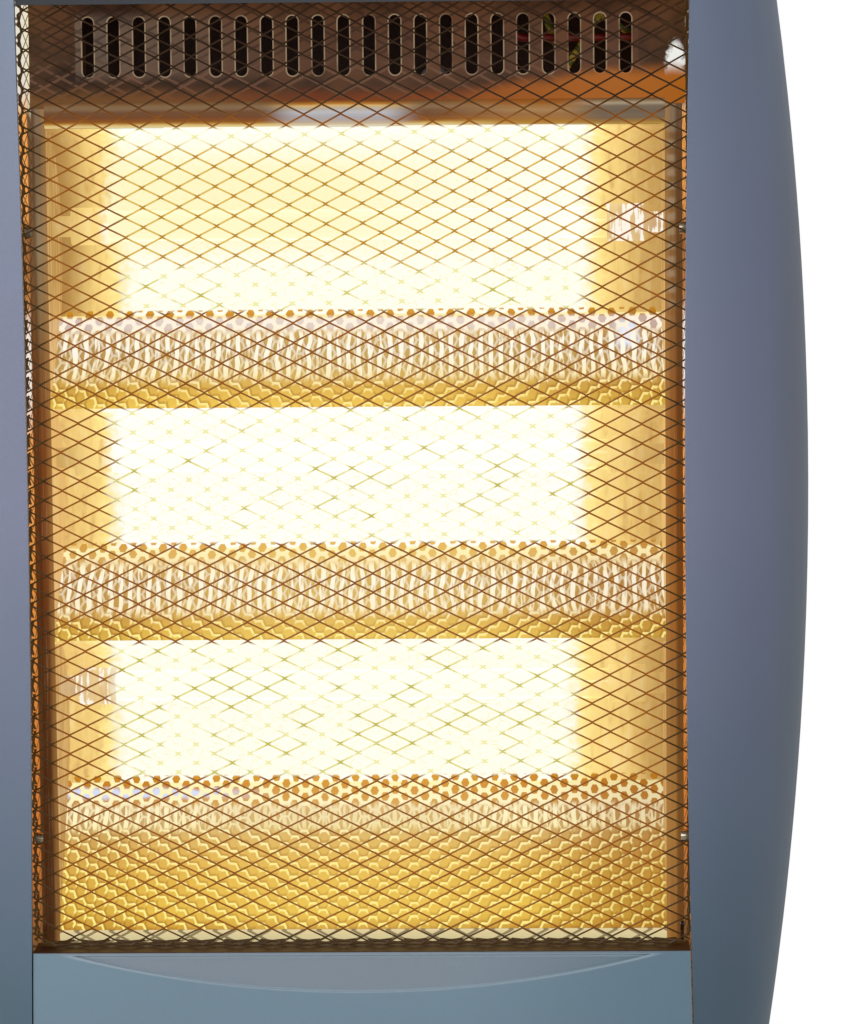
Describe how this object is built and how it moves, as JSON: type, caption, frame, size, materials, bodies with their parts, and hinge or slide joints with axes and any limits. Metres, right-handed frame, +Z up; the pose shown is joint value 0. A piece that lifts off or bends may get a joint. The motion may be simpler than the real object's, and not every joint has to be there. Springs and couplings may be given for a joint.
{
  "type": "halogen heater",
  "caption": "Upright halogen heater: three gold reflector troughs with quartz lamps behind a diamond mesh guard, in a rounded head that swings on a weighted round base.",
  "frame": {"origin": "centre of the round base, on the plane that the four feet stand on", "axes": "+Z up through the swing axis, front of the heater with its lamps and grille faces -Y, +X to the right as seen from the front"},
  "size_m": [0.305, 0.25, 0.4895],
  "materials": {
    "housing_plastic": "satin grey-blue moulding",
    "painted_rear": "satin grey-blue paint",
    "black_plastic": "fine grained",
    "white_plastic": "plain moulded",
    "knob_plastic": "silver-grey",
    "bearing_plastic": "natural acetal",
    "galvanised_steel": "zinc coated",
    "ballast_iron": "as cast, painted dark grey",
    "bright_steel": "polished sheet",
    "dark_steel": "heat browned, satin",
    "grille_steel": "brown heat-proof coat",
    "gold_reflector": "dimpled sheet, lit gold by the lamps",
    "screw_steel": "zinc plated",
    "tungsten": "glowing wire",
    "ceramic": "unglazed white ceramic",
    "brass": "stamped tab",
    "quartz_glass": "clear quartz",
    "rubber": "moulded",
    "red_insulation": "silicone sleeve",
    "green_insulation": "green and yellow sleeve"
  },
  "bodies": {
    "base": {"base_cover": "housing_plastic", "base_plate": "galvanised_steel", "ballast_ring": "ballast_iron", "rubber_feet": "rubber", "base_screws": "screw_steel", "pivot_post": "screw_steel", "slip_washer": "bearing_plastic", "thrust_washer": "bearing_plastic", "retaining_clip": "screw_steel", "anchor_arm": "galvanised_steel", "cord_gland": "black_plastic", "terminal_block": "white_plastic", "plunger_guide": "black_plastic", "plunger_spring": "screw_steel", "tip_switch": "black_plastic"},
    "plunger": {"tip_plunger": "bearing_plastic"},
    "head": {"neck": "housing_plastic", "neck_screws": "screw_steel", "drive_motor": "galvanised_steel", "motor_bracket": "galvanised_steel", "motor_screws": "screw_steel", "lower_panel": "housing_plastic", "bottom_cover": "housing_plastic", "right_side_cover": "housing_plastic", "left_side_cover": "housing_plastic", "cover_screws": "screw_steel", "top_cover": "housing_plastic", "rear_panel": "painted_rear", "rear_screws": "screw_steel", "carry_handle": "black_plastic", "handle_nuts": "screw_steel", "right_side_plate": "bright_steel", "left_side_plate": "bright_steel", "right_post": "galvanised_steel", "left_post": "galvanised_steel", "top_bar": "bright_steel", "bottom_rail": "bright_steel", "reflector_top": "gold_reflector", "reflector_middle": "gold_reflector", "reflector_bottom": "gold_reflector", "lamp_tube_top": "quartz_glass", "lamp_tube_middle": "quartz_glass", "lamp_tube_bottom": "quartz_glass", "filaments": "tungsten", "end_caps": "ceramic", "lamp_terminals": "brass", "vent_plate": "dark_steel", "thermal_cutout": "black_plastic", "red_wires": "red_insulation", "earth_wire": "green_insulation", "front_grille": "grille_steel", "grille_clips": "screw_steel", "selector_switch": "black_plastic", "rocker_housing": "black_plastic"},
    "link": {"drive_link": "galvanised_steel"},
    "crank": {"crank_arm": "bearing_plastic", "motor_shaft": "screw_steel"},
    "selector": {"selector_knob": "knob_plastic"},
    "rocker": {"swing_rocker": "black_plastic"}
  },
  "joints": [
    {"name": "oscillation", "type": "hinge", "parent": "base", "child": "head", "pos_m": [0, 0, 0.045], "axis": [0, 0, 1], "range_deg": [-35, 35]},
    {"name": "plunger_travel", "type": "slide", "parent": "base", "child": "plunger", "axis": [0, 0, 1], "range_m": [-0.004, 0], "stiffness_N_per_m": 100, "springref_m": -0.008, "deforming": ["plunger_spring"]},
    {"name": "link_swing", "type": "hinge", "parent": "base", "child": "link", "pos_m": [0, 0.022, 0.064], "axis": [0, 0, 1], "range_deg": [-38, 38]},
    {"name": "crank_turn", "type": "hinge", "parent": "head", "child": "crank", "pos_m": [0.034, 0.022, 0.07], "axis": [0, 0, 1], "continuous": true},
    {"name": "selector_turn", "type": "hinge", "parent": "head", "child": "selector", "pos_m": [-0.045, -0.008, 0.475], "axis": [0, 0, 1], "range_deg": [0, 270]},
    {"name": "rocker_tilt", "type": "hinge", "parent": "head", "child": "rocker", "pos_m": [0.045, -0.008, 0.47], "axis": [1, 0, 0], "range_deg": [-8, 8]}
  ],
  "couplings": [
    {"joint": "link_swing", "follows": "oscillation", "ratio": 1.06}
  ]
}
